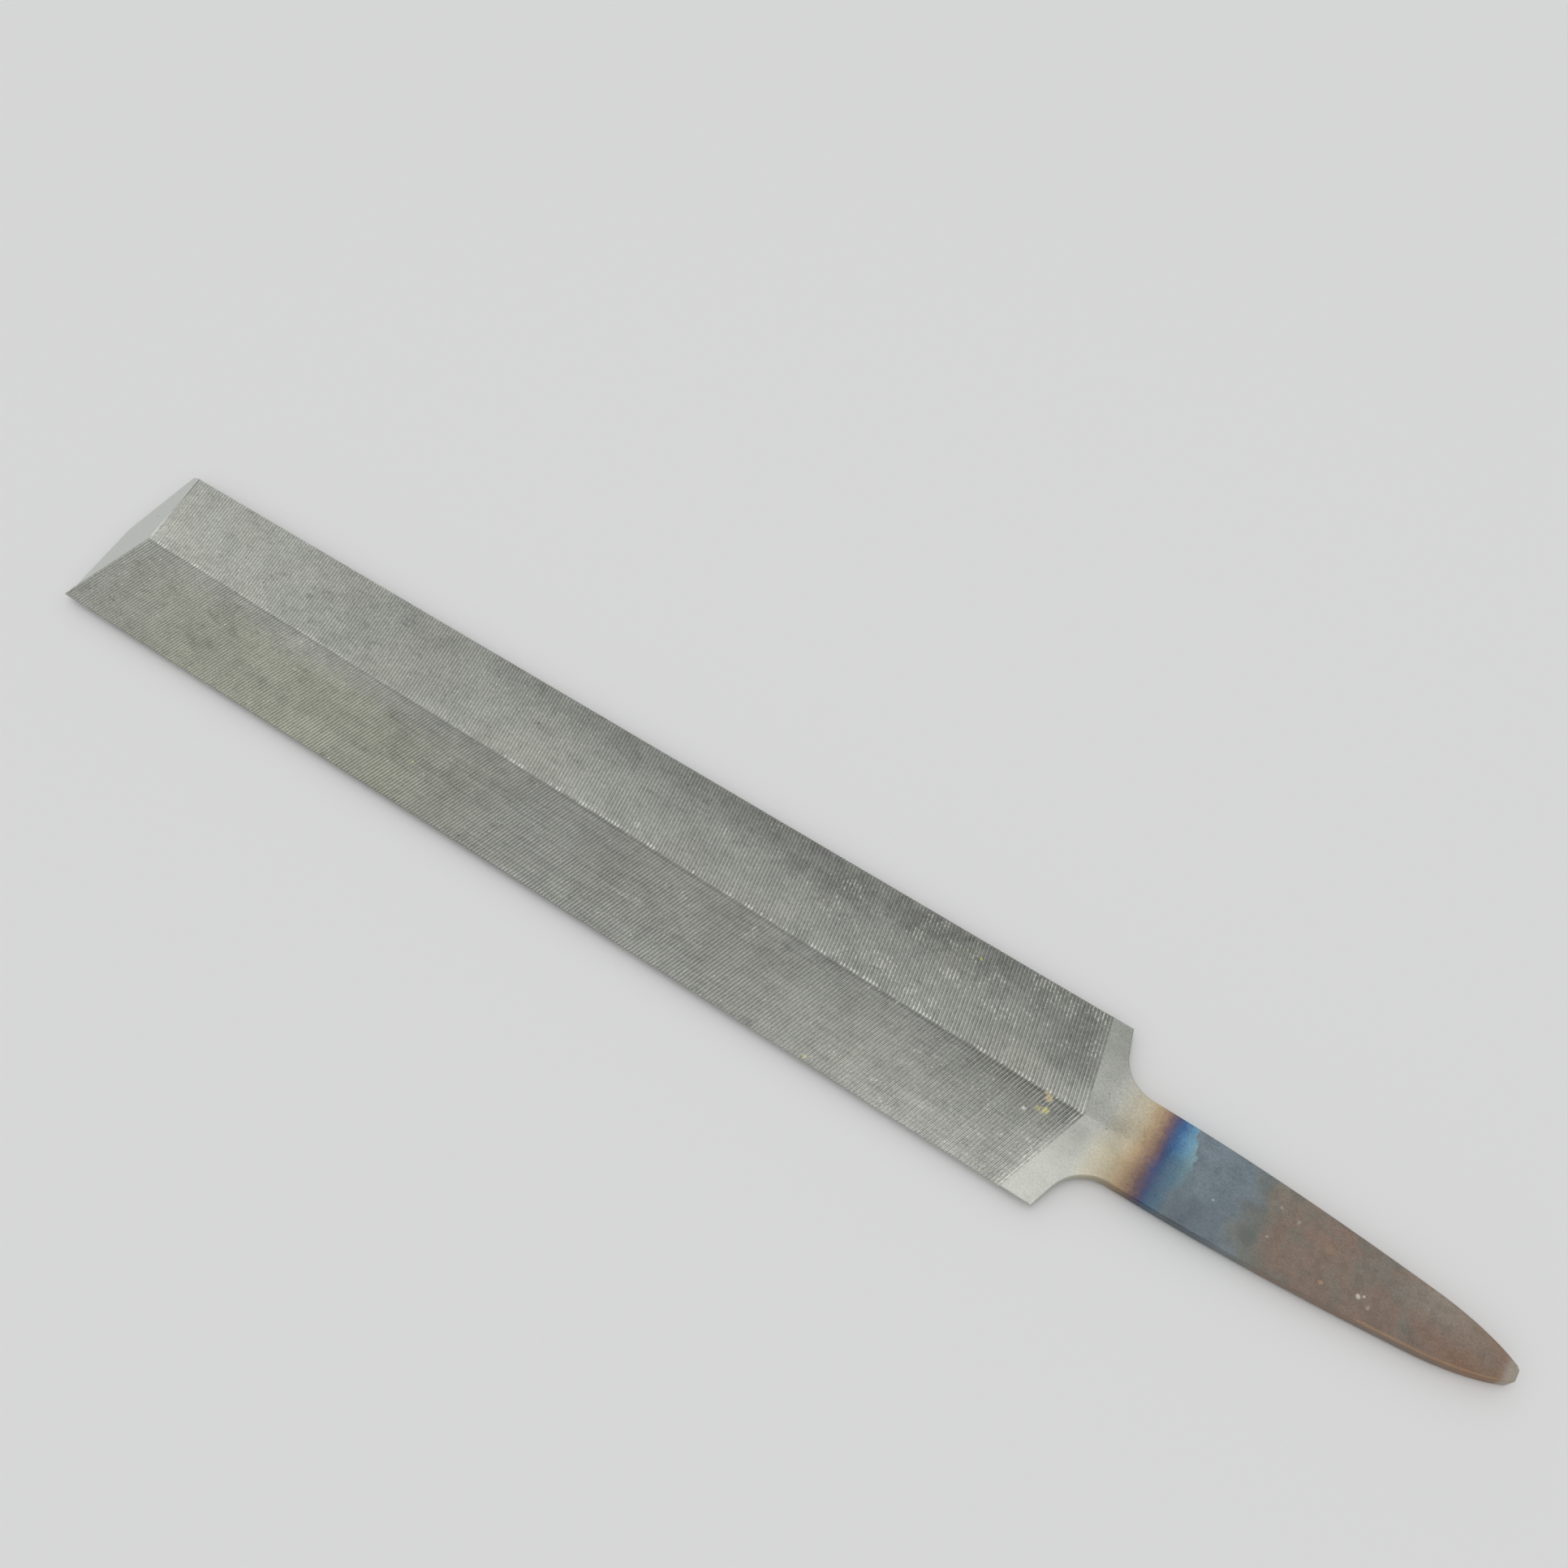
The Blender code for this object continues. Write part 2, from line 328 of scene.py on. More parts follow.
def facet_points(row, sign, inner_x, inner_y):
    """x, y and z of one half of a row, from the ridge to where the rim starts to turn.

    A tooth line's waviness fades out at both of its ends.
    """
    s = FACET_COLUMNS
    x = row["x"] + (inner_x - row["x"]) * s
    y = inner_y * s
    z = facet_height(row, y)
    y = y + sign * ridge_y(row["x"]) * (1.0 - s)
    if sign > 0:
        x = x + row["bulge"] * np.minimum(s / BULGE_AT, (1.0 - s) / (1.0 - BULGE_AT))
    if row["toothed"]:
        x = x + row["lean"] * np.minimum(1.0, 4.0 * s) * np.minimum(1.0, 6.0 * (1.0 - s))
        z = z - row["drop"] * (DEPTH + (DEPTH_AT_EDGE - DEPTH) * s) * (1.0 + row["burr"]) - INSET
    return x, y, z


def side_points(row, sign, under):
    """Points of one half of a row from the ridge to the rim, then round the rim to its middle."""
    end_x, end_y = row["near"] if sign > 0 else row["far"]
    nx, ny = row["normal"]
    wall_z = facet_height(row, end_y)
    radius = TOOTH_EDGE_ROUND if row["toothed"] else min(EDGE_ROUND, ROUND_MOST * wall_z)
    x, y, z = facet_points(row, sign, end_x - nx * radius, end_y - ny * radius)
    if row["toothed"]:
        end_y = end_y - EDGE_NOTCH * row["drop"]
        wall_z = z[-1]
    turn = radius * (1.0 - math.cos(math.pi / 4.0))
    x = np.append(x, [end_x - nx * turn, end_x])
    y = np.append(y, [end_y - ny * turn, end_y])
    z = np.append(z, [wall_z - turn, max(wall_z - radius, FLAT_LEAST * wall_z)])
    return np.column_stack([x, sign * y, -z if under else z])


def ring_points(row):
    """The whole ring: top near rim to top far rim, then back along the underside."""
    top_near = side_points(row, 1.0, False)
    top_far = side_points(row, -1.0, False)
    low_near = side_points(row, 1.0, True)
    low_far = side_points(row, -1.0, True)
    return np.vstack([top_near[::-1], top_far[1:], low_far[::-1], low_near[1:]])


def ring_faces(first, size):
    """Quads between one ring and the next."""
    after = first + size
    return [
        (first + i, first + (i + 1) % size, after + (i + 1) % size, after + i) for i in range(size)
    ]


def end_cap(first, size, turned):
    """Quads that join the upper and lower halves of an end ring."""
    last = first + size - 1
    faces = [(first + i, last - i, last - i - 1, first + i + 1) for i in range(size // 2 - 1)]
    return [face[::-1] for face in faces] if turned else faces


def rim_values():
    """1 on the points of a ring that lie on the arris of the rim, and 0 on the others."""
    side = np.zeros(len(FACET_COLUMNS) + 2)
    side[-3:-1] = 1.0
    half = np.concatenate([side[::-1], side[1:]])
    return np.concatenate([half, half])


def add_vertex_value(mesh, name, values):
    attribute = mesh.attributes.new(name, "FLOAT", "POINT")
    attribute.data.foreach_set("value", np.asarray(values, np.float32))


def build_file():
    """The whole file as one closed mesh of rings, with what the steel needs to know on its points."""
    rows = file_rows()
    rings = [ring_points(row) for row in rows]
    size = len(rings[0])
    last = (len(rings) - 1) * size
    faces = [face for first in range(0, last, size) for face in ring_faces(first, size)]
    faces += end_cap(0, size, False) + end_cap(last, size, True)
    mesh = bpy.data.meshes.new("toothed steel file")
    mesh.from_pydata(np.vstack(rings).tolist(), [], faces)
    for name in ("tooth", "toothed", "tip"):
        add_vertex_value(mesh, name, np.repeat([row[name] for row in rows], size))
    add_vertex_value(mesh, "rim", np.tile(rim_values(), len(rows)))
    mesh.shade_smooth()
    mesh.set_sharp_from_angle(angle=SHARP_ANGLE)
    mesh.validate()
    obj = bpy.data.objects.new("toothed_steel_file", mesh)
    bpy.context.scene.collection.objects.link(obj)
    return obj


# ---------------------------------------------------------------- stage

FILE_MIDDLE = (0.07, 0.0, 0.0)
FLOOR_SIZE = 4.0
FLOOR_GAP = 0.02 * MM
FLOOR_COLOUR = (0.90, 0.895, 0.88, 1.0)
FLOOR_ROUGHNESS = 0.8
ROOM_COLOUR = (0.97, 0.98, 1.0, 1.0)
ROOM_STRENGTH = 0.65
KEY_PLACE = (0.06, 0.02, 0.90)
KEY_SIZE = 0.70
KEY_POWER = 1.10

# The camera stands 61 degrees above the floor. The lens and the sensor are in millimetres.
CAMERA_PLACE = (HEEL_X - 0.47 * MM, 42.33 * MM, 117.24 * MM)
CAMERA_TARGET = (HEEL_X + 34.90 * MM, -11.39 * MM, 0.0)
CAMERA_LENS = 36.16
CAMERA_SENSOR = 36.0
CAMERA_ROLL = 0.0024


def build_floor():
    place = (FILE_MIDDLE[0], FILE_MIDDLE[1], BOX_LOW.z - FLOOR_GAP)
    bpy.ops.mesh.primitive_plane_add(size=FLOOR_SIZE, location=place)
    floor = bpy.context.object
    floor.name = "floor"
    material = bpy.data.materials.new("pale floor")
    material.use_nodes = True
    shader = material.node_tree.nodes["Principled BSDF"]
    shader.inputs["Base Color"].default_value = FLOOR_COLOUR
    shader.inputs["Roughness"].default_value = FLOOR_ROUGHNESS
    floor.data.materials.append(material)
    return floor


def aimed(place, target):
    """The turn that points a camera or a light from its place at the target."""
    return (Vector(target) - Vector(place)).to_track_quat("-Z", "Y")


def build_room():
    world = bpy.data.worlds.new("soft grey room")
    world.use_nodes = True
    background = world.node_tree.nodes["Background"]
    background.inputs["Color"].default_value = ROOM_COLOUR
    background.inputs["Strength"].default_value = ROOM_STRENGTH
    bpy.context.scene.world = world
    bpy.context.scene.view_settings.view_transform = "Standard"


def build_key_light():
    data = bpy.data.lights.new("key", "AREA")
    data.shape = "DISK"
    data.size = KEY_SIZE
    data.energy = KEY_POWER
    light = bpy.data.objects.new("key", data)
    light.location = KEY_PLACE
    light.rotation_mode = "QUATERNION"
    light.rotation_quaternion = aimed(KEY_PLACE, FILE_MIDDLE)
    bpy.context.scene.collection.objects.link(light)


def build_camera():
    data = bpy.data.cameras.new("camera")
    data.lens = CAMERA_LENS
    data.sensor_width = CAMERA_SENSOR
    data.clip_start = 1.0 * MM
    data.clip_end = 10.0
    camera = bpy.data.objects.new("camera", data)
    camera.location = CAMERA_PLACE
    camera.rotation_mode = "QUATERNION"
    roll = Quaternion((0.0, 0.0, 1.0), CAMERA_ROLL)
    camera.rotation_quaternion = aimed(CAMERA_PLACE, CAMERA_TARGET) @ roll
    bpy.context.scene.collection.objects.link(camera)
    bpy.context.scene.camera = camera


# ---------------------------------------------------------------- nodes


class Nodes:
    """Short ways to add nodes to one material. Places are in millimetres."""

    def __init__(self, material):
        material.use_nodes = True
        self.tree = material.node_tree
        self.shader = self.tree.nodes["Principled BSDF"]

    def put(self, socket, value):
        if hasattr(value, "is_output"):
            self.tree.links.new(value, socket)
        elif isinstance(value, tuple):
            socket.default_value = value[: len(socket.default_value)]
        else:
            socket.default_value = value

    def math(self, operation, *values):
        node = self.tree.nodes.new("ShaderNodeMath")
        node.operation = operation
        for socket, value in zip(node.inputs, values):
            self.put(socket, value)
        return node.outputs[0]

    def add(self, a, b):
        return self.math("ADD", a, b)

    def subtract(self, a, b):
        return self.math("SUBTRACT", a, b)

    def multiply(self, a, b):
        return self.math("MULTIPLY", a, b)

    def madd(self, a, b, c):
        return self.math("MULTIPLY_ADD", a, b, c)

    def absolute(self, a):
        return self.math("ABSOLUTE", a)

    def fract(self, a):
        return self.math("FRACT", a)

    def blend(self, factor, a, b):
        """a where the factor is 0, and b where it is 1."""
        return self.madd(factor, self.subtract(b, a), a)

    def darker(self, tone, share, amount):
        """The tone, made darker by the amount where the share is 1."""
        return self.multiply(tone, self.madd(share, -amount, 1.0))

    def remap(self, value, low, high, to_low=0.0, to_high=1.0, smooth=True):
        node = self.tree.nodes.new("ShaderNodeMapRange")
        node.interpolation_type = "SMOOTHSTEP" if smooth else "LINEAR"
        for socket, part in zip(node.inputs, (value, low, high, to_low, to_high)):
            self.put(socket, part)
        return node.outputs[0]

    def window(self, value, low, high, fade):
        """1 between low and high, fading to 0 outside them. None leaves that side open."""
        rise = 1.0 if low is None else self.remap(value, low - fade, low)
        fall = 1.0 if high is None else self.remap(value, high, high + fade, 1.0, 0.0)
        return self.multiply(rise, fall)

    def areas(self, x, y, listed):
        """The sum of the changes that the listed areas make: a window along, a window across, a change."""
        total = 0.0
        for along, across, change in listed:
            share = self.multiply(self.window(x, *along), self.window(y, *across))
            total = self.madd(share, change, total)
        return total

    def distance(self, x, y, middle_x, middle_y):
        along = self.subtract(x, middle_x)
        across = self.subtract(y, middle_y)
        return self.math("SQRT", self.madd(along, along, self.multiply(across, across)))

    def vector(self, x, y, z):
        node = self.tree.nodes.new("ShaderNodeCombineXYZ")
        for socket, value in zip(node.inputs, (x, y, z)):
            self.put(socket, value)
        return node.outputs[0]

    def noise(self, vector, scale, detail, roughness=0.5):
        node = self.tree.nodes.new("ShaderNodeTexNoise")
        self.put(node.inputs["Vector"], vector)
        node.inputs["Scale"].default_value = scale
        node.inputs["Detail"].default_value = detail
        node.inputs["Roughness"].default_value = roughness
        return node.outputs[0]

    def cloud(self, place, layer, scale, detail=4.0, roughness=0.6):
        """Noise over the file. Every layer is a pattern of its own."""
        x, y, z = place
        return self.noise(self.vector(x, y, self.add(z, layer)), scale, detail, roughness)

    def specks(self, place, layer, scale, share, size):
        """Small round spots in a share of the cells of a random grid."""
        x, y, z = place
        node = self.tree.nodes.new("ShaderNodeTexVoronoi")
        self.put(node.inputs["Vector"], self.vector(x, y, self.add(z, layer)))
        node.inputs["Scale"].default_value = scale
        spot = self.remap(node.outputs["Distance"], 0.5 * size, size, 1.0, 0.0)
        chance = self.add(node.outputs["Color"], 0.0)
        return self.multiply(spot, self.remap(chance, share, 0.9 * share))

    def mix(self, factor, a, b):
        node = self.tree.nodes.new("ShaderNodeMix")
        node.data_type = "RGBA"
        self.put(node.inputs["Factor"], factor)
        self.put(node.inputs[6], a)
        self.put(node.inputs[7], b)
        return node.outputs[2]

    def scale_colour(self, colour, amount):
        node = self.tree.nodes.new("ShaderNodeVectorMath")
        node.operation = "SCALE"
        self.put(node.inputs[0], colour)
        self.put(node.inputs["Scale"], amount)
        return node.outputs[0]

    def ramp(self, value, stops):
        node = self.tree.nodes.new("ShaderNodeValToRGB")
        self.put(node.inputs[0], value)
        elements = node.color_ramp.elements
        while len(elements) < len(stops):
            elements.new(0.5)
        for element, (place, colour) in zip(elements, stops):
            element.position = place
            element.color = colour
        return node.outputs[0]

    def attribute(self, name):
        node = self.tree.nodes.new("ShaderNodeAttribute")
        node.attribute_name = name
        return node.outputs["Fac"]

    def place_mm(self):
        """The place on the file in millimetres: x from the shoulders towards the tip, y and z."""
        place = self.tree.nodes.new("ShaderNodeTexCoord").outputs["Object"]
        parts = self.tree.nodes.new("ShaderNodeSeparateXYZ")
        self.put(parts.inputs[0], place)
        x = self.math("MULTIPLY_ADD", parts.outputs[0], 1.0 / MM, -HEEL_X / MM)
        y = self.math("MULTIPLY", parts.outputs[1], 1.0 / MM)
        z = self.math("MULTIPLY", parts.outputs[2], 1.0 / MM)
        return x, y, z

    def bump(self, height, strength, distance):
        node = self.tree.nodes.new("ShaderNodeBump")
        node.inputs["Strength"].default_value = strength
        node.inputs["Distance"].default_value = distance
        self.put(node.inputs["Height"], height)
        return node.outputs[0]


# ---------------------------------------------------------------- steel

# How brightly the lit room shows in the steel, so that colours can be given as they look.
ROOM_LIGHT = 0.83

# Heat tint and oxide along the tang: millimetres behind the shoulders, and the colour there.
# On the near side the bands are drawn out from the pivot.
TEMPER = (
    (1.5, (176, 176, 168)),
    (2.6, (176, 172, 156)),
    (3.9, (173, 163, 140)),
    (4.7, (164, 144, 116)),
    (5.3, (143, 121, 102)),
    (5.8, (112, 94, 94)),
    (6.3, (82, 84, 112)),
    (6.7, (66, 94, 130)),
    (7.2, (84, 120, 150)),
    (7.8, (106, 142, 160)),
    (8.4, (120, 144, 150)),
)
TEMPER_END = 8.4
TEMPER_PIVOT = 5.9
TINT_DULL = (96, 111, 118)
OXIDE_BLUE = (109, 119, 125)
OXIDE_GREEN = (108, 110, 104)
RUST_BROWN = (127, 110, 98)
RUST_GREY = (118, 112, 102)
RUST_PALE = (136, 126, 115)
RUST_ORANGE = (135, 105, 83)
# The painted highlight on the tang's near arris.
RIM_HIGHLIGHT_ORANGE = (174, 140, 104)
END_GREY = (154, 146, 134)
STEEL_GREY = (159, 160, 153)
STEEL_OLIVE = (158, 159, 144)
HEEL_GREY = (176, 177, 169)
TIP_GREY = (203, 205, 199)

# Lighter and darker areas: from, to and fade along the file from the shoulders, from, to and fade
# across it from the ridge, all in millimetres, and the change in tone. None leaves a side open.
ALL = (None, None, 1.0)
TINT_AREAS = (
    ((-2.8, -1.5, 1.2), (-0.5, 0.6, 1.3), -0.20),
    ((-7.8, -6.5, 0.6), (-0.7, 0.7, 0.9), -0.17),
    ((-3.5, -2.0, 0.6), (1.4, 3.2, 0.9), -0.055),
    ((-4.9, -4.2, 0.5), (1.4, 3.2, 0.9), 0.06),
)
# Painted light on the far side and painted shade on the near side of the tang, and lighter edges 13 to 15
# mm behind the shoulders.
TANG_LIGHT_AND_TONE_AREAS = (
    ((-10.0, -4.0, 1.5), (None, -2.4, 1.2), 0.12),
    ((-10.5, -5.0, 3.2), (2.2, None, 3.2), -0.30),
    ((-9.8, -8.8, 0.7), (2.0, None, 1.2), -0.06),
    ((None, -27.5, 2.0), (1.4, None, 1.2), -0.06),
    ((-15.0, -13.2, 1.2), (1.6, None, 1.1), 0.07),
    ((-15.0, -13.2, 1.2), (None, -1.6, 1.1), 0.07),
)
# Painted shade on the near side and painted light on the far side of the heel, close to the ridge.
HEEL_LIGHT_AND_SHADE_AREAS = (
    (ALL, (0.4, 1.5, 3.5), -0.17),
    (ALL, (-3.4, -0.8, 2.6), 0.12),
)
FAR_AREAS = (
    ((49.0, 60.0, 9.0), ALL, 0.06),
    ((None, 3.0, 9.0), (-1.0, None, 1.6), 0.13),
    ((58.0, None, 13.0), (-5.0, -3.2, 1.8), 0.035),
    ((92.0, None, 22.0), ALL, 0.27),
    ((None, 50.0, 25.0), (None, -7.6, 3.6), -0.27),
    ((None, 3.0, 6.0), (-5.2, -3.0, 1.6), -0.17),
)
NEAR_AREAS = (
    ((None, 0.0, 37.0), (7.0, None, 8.0), 0.45),
    ((95.0, None, 11.0), ALL, 0.05),
    ((44.0, 64.0, 8.0), ALL, -0.10),
    ((46.0, 68.0, 8.0), (7.0, None, 2.5), 0.05),
    (ALL, (0.16, 0.34, 0.12), -0.056),
    ((None, 80.0, 12.0), (0.16, 0.34, 0.12), -0.084),
)

# Chips and bits of grit: x from the shoulders, y from the ridge and the radius, in millimetres,
# and the colour.
CHIPS = (
    (-22.70, 1.00, 0.22, (192, 182, 170)),
    (-23.05, 0.80, 0.14, (180, 168, 154)),
    (-23.60, 1.35, 0.18, (158, 144, 128)),
    (-20.05, 1.60, 0.20, (162, 132, 104)),
    (-15.45, 0.75, 0.12, (158, 152, 142)),
    (-11.00, 0.50, 0.12, (146, 152, 153)),
    (-15.48, -1.80, 0.16, (160, 146, 132)),
    (-16.97, -1.50, 0.18, (152, 144, 136)),
    (-19.64, -0.94, 0.45, (142, 122, 104)),
    (-14.20, 1.50, 0.80, (103, 107, 102)),
    (2.80, 0.40, 0.38, (196, 186, 160)),
    (3.20, 0.10, 0.24, (188, 178, 152)),
    (2.62, 1.38, 0.34, (196, 192, 148)),
    (3.15, 1.52, 0.24, (188, 185, 142)),
    (4.03, 2.14, 0.20, (204, 205, 200)),
    (12.90, -6.80, 0.17, (182, 180, 128)),
    (13.60, -7.10, 0.12, (170, 168, 128)),
    (20.30, 7.80, 0.20, (192, 190, 150)),
    (62.40, 4.60, 0.14, (180, 178, 140)),
)

# Where burrs glint in clusters: the middle's x and y, measured in the same way, and the radius.
GLINTS = (
    (25.1, -6.6, 1.5),
    (18.2, -5.4, 1.2),
    (14.4, -4.4, 1.4),
    (14.1, -1.3, 0.8),
    (10.9, -6.2, 1.1),
    (4.8, -6.7, 0.9),
    (2.7, -7.5, 1.5),
    (4.3, 3.2, 0.7),
)

# Where the tint bands give way to the blue-grey oxide, and the oxide to rust.
OXIDE_BORDER = -8.65
RUST_BORDER = -14.9

# Tones of the toothed faces before the listed areas and dirt: painted light on the far facet and painted
# shade on the near one. Then how strong the details on them are; the dashes and the ridge's beads are
# painted glints.
FAR_FACET_LIGHT = 1.08
NEAR_FACET_SHADE = 0.86
RIDGE_PALER = 0.14
BURR_PALER = 0.70
PIT_DARKER = 0.40
DASH_SHARE = 1.25
GLINT_PALER = 0.55

# Where the crest lies in each tooth, and over which teeth the far facet's lines fade out at the tip.
CREST_PLACE = 0.68
LAST_TEETH = (TOOTH_COUNT - 3.2, TOOTH_COUNT - 2.6)

# How the steel shines, bare, toothed and rusty, and how its grain stands out.
SMOOTH_ROUGHNESS = 0.40
TOOTHED_ROUGHNESS = 0.46
RUST_ROUGHER = 0.22
RUST_LESS_METALLIC = 0.6
GRAIN_ROUGHNESS = 0.25
GRAIN_BUMP = 0.5
GRAIN_HEIGHT = 0.02 * MM


def linear(channel):
    """A channel as it shows on a screen, 0 to 255, in linear light."""
    part = channel / 255.0
    return part / 12.92 if part <= 0.04045 else ((part + 0.055) / 1.055) ** 2.4


def seen(colour):
    """The base colour that shows as this screen colour in the room's light."""
    red, green, blue = (linear(channel) / ROOM_LIGHT for channel in colour)
    return (red, green, blue, 1.0)


def temper_colour(n, place):
    """Bands of heat tint across the tang: cleaner on the far side, drawn out on the near side."""
    x, y = place[:2]
    cloud = n.cloud(place, layer=0.0, scale=0.7, detail=3.0)
    fine = n.cloud(place, layer=4.0, scale=3.0, detail=3.0)
    behind = n.subtract(n.multiply(x, -1.0), TEMPER_PIVOT)
    drawn_out = n.madd(n.remap(y, -0.6, 1.8), -0.22, 1.0)
    behind = n.madd(behind, drawn_out, TEMPER_PIVOT)
    behind = n.madd(n.subtract(cloud, 0.5), 0.7, behind)
    behind = n.madd(n.subtract(fine, 0.5), 0.6, behind)
    stops = [(distance / TEMPER_END, seen(colour)) for distance, colour in TEMPER]
    tint = n.ramp(n.multiply(behind, 1.0 / TEMPER_END), stops)
    duller = n.multiply(n.remap(y, -1.4, 0.0, 0.0, 0.62), n.remap(x, -6.3, -7.2))
    tint = n.mix(duller, tint, seen(TINT_DULL))
    return n.scale_colour(tint, n.add(n.areas(x, y, TINT_AREAS), 1.0))


def oxide_colour(n, place):
    """Blue-grey oxide behind the tint bands, greener towards the rust."""
    cloud = n.cloud(place, layer=11.0, scale=0.45)
    greener = n.madd(n.subtract(cloud, 0.5), 6.0, place[0])
    grey = n.mix(n.remap(greener, -12.0, -15.0), seen(OXIDE_BLUE), seen(OXIDE_GREEN))
    mottle = n.cloud(place, layer=31.0, scale=0.9)
    return n.scale_colour(grey, n.remap(mottle, 0.34, 0.62, 0.90, 1.06))


def rust_colour(n, place):
    """Brown oxide towards the tang's end: greyer patches, a paler far side, a few orange stains and a
    painted orange highlight along the near arris.
    """
    x, y, z = place
    cloud = n.cloud(place, layer=9.0, scale=0.30, roughness=0.55)
    rust = n.mix(n.remap(cloud, 0.46, 0.64), seen(RUST_BROWN), seen(RUST_GREY))
    far = n.multiply(n.remap(y, 0.6, -1.6), n.window(x, -30.0, -27.5, 3.5))
    rust = n.mix(n.multiply(far, 0.85), rust, seen(RUST_PALE))
    patch = n.cloud((n.multiply(x, 0.6), y, z), layer=19.0, scale=0.55)
    last = n.multiply(n.remap(x, -27.0, -32.0, 0.0, 0.75), n.remap(y, -0.8, 0.4, 0.45, 1.0))
    stain = n.add(n.remap(patch, 0.56, 0.70, 0.0, 0.4), last)
    stain = n.multiply(stain, n.remap(n.absolute(y), 0.0, 1.4, 0.4, 1.0))
    rust = n.mix(stain, rust, seen(RUST_ORANGE))
    dark = n.cloud(place, layer=29.0, scale=1.1)
    rust = n.scale_colour(rust, n.remap(dark, 0.34, 0.60, 0.90, 1.05))
    rust = n.mix(n.remap(x, -33.0, -33.7, 0.0, 0.85), rust, seen(END_GREY))
    # Painted orange highlight along the near arris of the rusty tang.
    rim = n.multiply(n.attribute("rim"), n.window(x, -32.5, -24.0, 2.0))
    rim = n.multiply(rim, n.remap(y, -0.3, 0.3))
    return n.mix(n.multiply(rim, 0.45), rust, seen(RIM_HIGHLIGHT_ORANGE))


def tang_colour(n, place):
    """Heat tint, then blue-grey oxide, then rust, with ragged borders between them, and painted light that
    makes the far side lighter and the near side darker.
    """
    x, y = place[:2]
    ragged = n.subtract(n.cloud(place, layer=2.0, scale=1.6, detail=3.0), 0.5)
    bow = n.multiply(n.add(y, 0.7), n.add(y, 0.7))
    border = n.madd(n.math("MINIMUM", bow, 6.0), 0.13, OXIDE_BORDER)
    past = n.subtract(x, n.madd(ragged, 0.9, border))
    soft = n.remap(y, -0.8, 1.2, 0.12, 0.55)
    tinted = n.remap(past, n.multiply(soft, -1.0), soft)
    tang = n.mix(tinted, oxide_colour(n, place), temper_colour(n, place))
    edge = n.madd(y, 0.18, n.madd(ragged, 1.3, x))
    soft = n.remap(y, -1.0, 2.0, 0.35, 1.1)
    rusty = n.remap(n.subtract(edge, RUST_BORDER), n.multiply(soft, -1.0), soft, 1.0, 0.0)
    tang = n.mix(rusty, tang, rust_colour(n, place))
    # Painted light across the tang: lighter towards the far side, with painted shade on the near side from
    # the listed areas.
    side = n.remap(y, -2.8, 2.8, 1.14, 1.0, smooth=False)
    return n.scale_colour(tang, n.add(side, n.areas(x, y, TANG_LIGHT_AND_TONE_AREAS)))


def heel_colour(n, place):
    """Ground steel of the heel with faint smudges, and painted light that makes it lighter on the near
    side.
    """
    x, y = place[:2]
    smudge = n.cloud(place, layer=17.0, scale=0.7)
    # Painted light across the heel: lighter towards the near side.
    side = n.remap(y, -6.5, 6.5, 0.80, 0.96, smooth=False)
    side = n.add(side, n.areas(x, y, HEEL_LIGHT_AND_SHADE_AREAS))
    return n.scale_colour(seen(HEEL_GREY), n.multiply(side, n.remap(smudge, 0.32, 0.60, 0.95, 1.03)))


def facet_light_and_tone(n, x, y):
    """How light the toothed faces are: the far facet painted lighter and the near one painted darker as
    the light falls on them, paler towards the ridge and the tip, and darker in some listed areas.
    """
    by_ridge = n.remap(n.absolute(y), 5.0, 0.3)
    by_ridge = n.darker(by_ridge, n.window(x, 79.0, 89.0, 6.0), 0.6)
    # The far facet is painted lighter and the near facet darker, as the light falls on them.
    far = n.madd(by_ridge, RIDGE_PALER, n.add(n.areas(x, y, FAR_AREAS), FAR_FACET_LIGHT))
    near = n.add(n.areas(x, y, NEAR_AREAS), NEAR_FACET_SHADE)
    return n.blend(n.remap(y, -0.15, 0.25), far, near)


def tooth_highlight_and_shade(n, x, y, tooth, crest):
    """Painted highlights on the crests and painted shade in the roots, softer towards the tip and harsher
    by the ridge near the heel.
    """
    twin = n.absolute(n.subtract(n.fract(n.madd(tooth, 2.0, 0.14)), 0.5))
    twin = n.subtract(n.remap(twin, 0.08, 0.42, 1.0, 0.0), 0.5)
    twin = n.multiply(twin, n.remap(x, 34.0, 12.0, 0.0, 0.22))
    depth = n.remap(x, 97.0, 62.0, 0.32, 0.37)
    near_gain = n.madd(n.window(x, 32.0, 64.0, 14.0), 0.50, 0.95)
    depth = n.multiply(depth, n.blend(n.remap(y, -0.5, 1.5), 1.12, near_gain))
    by_ridge = n.multiply(n.window(y, 0.20, 0.9, 0.5), n.remap(x, 20.0, 5.0))
    depth = n.madd(by_ridge, 0.42, depth)
    last = n.multiply(n.remap(tooth, *LAST_TEETH), n.remap(y, 0.0, -0.4))
    depth = n.darker(depth, last, 0.8)
    tone = n.add(twin, n.madd(by_ridge, 0.06, 1.0))
    return n.madd(n.subtract(crest, 0.5), depth, tone)


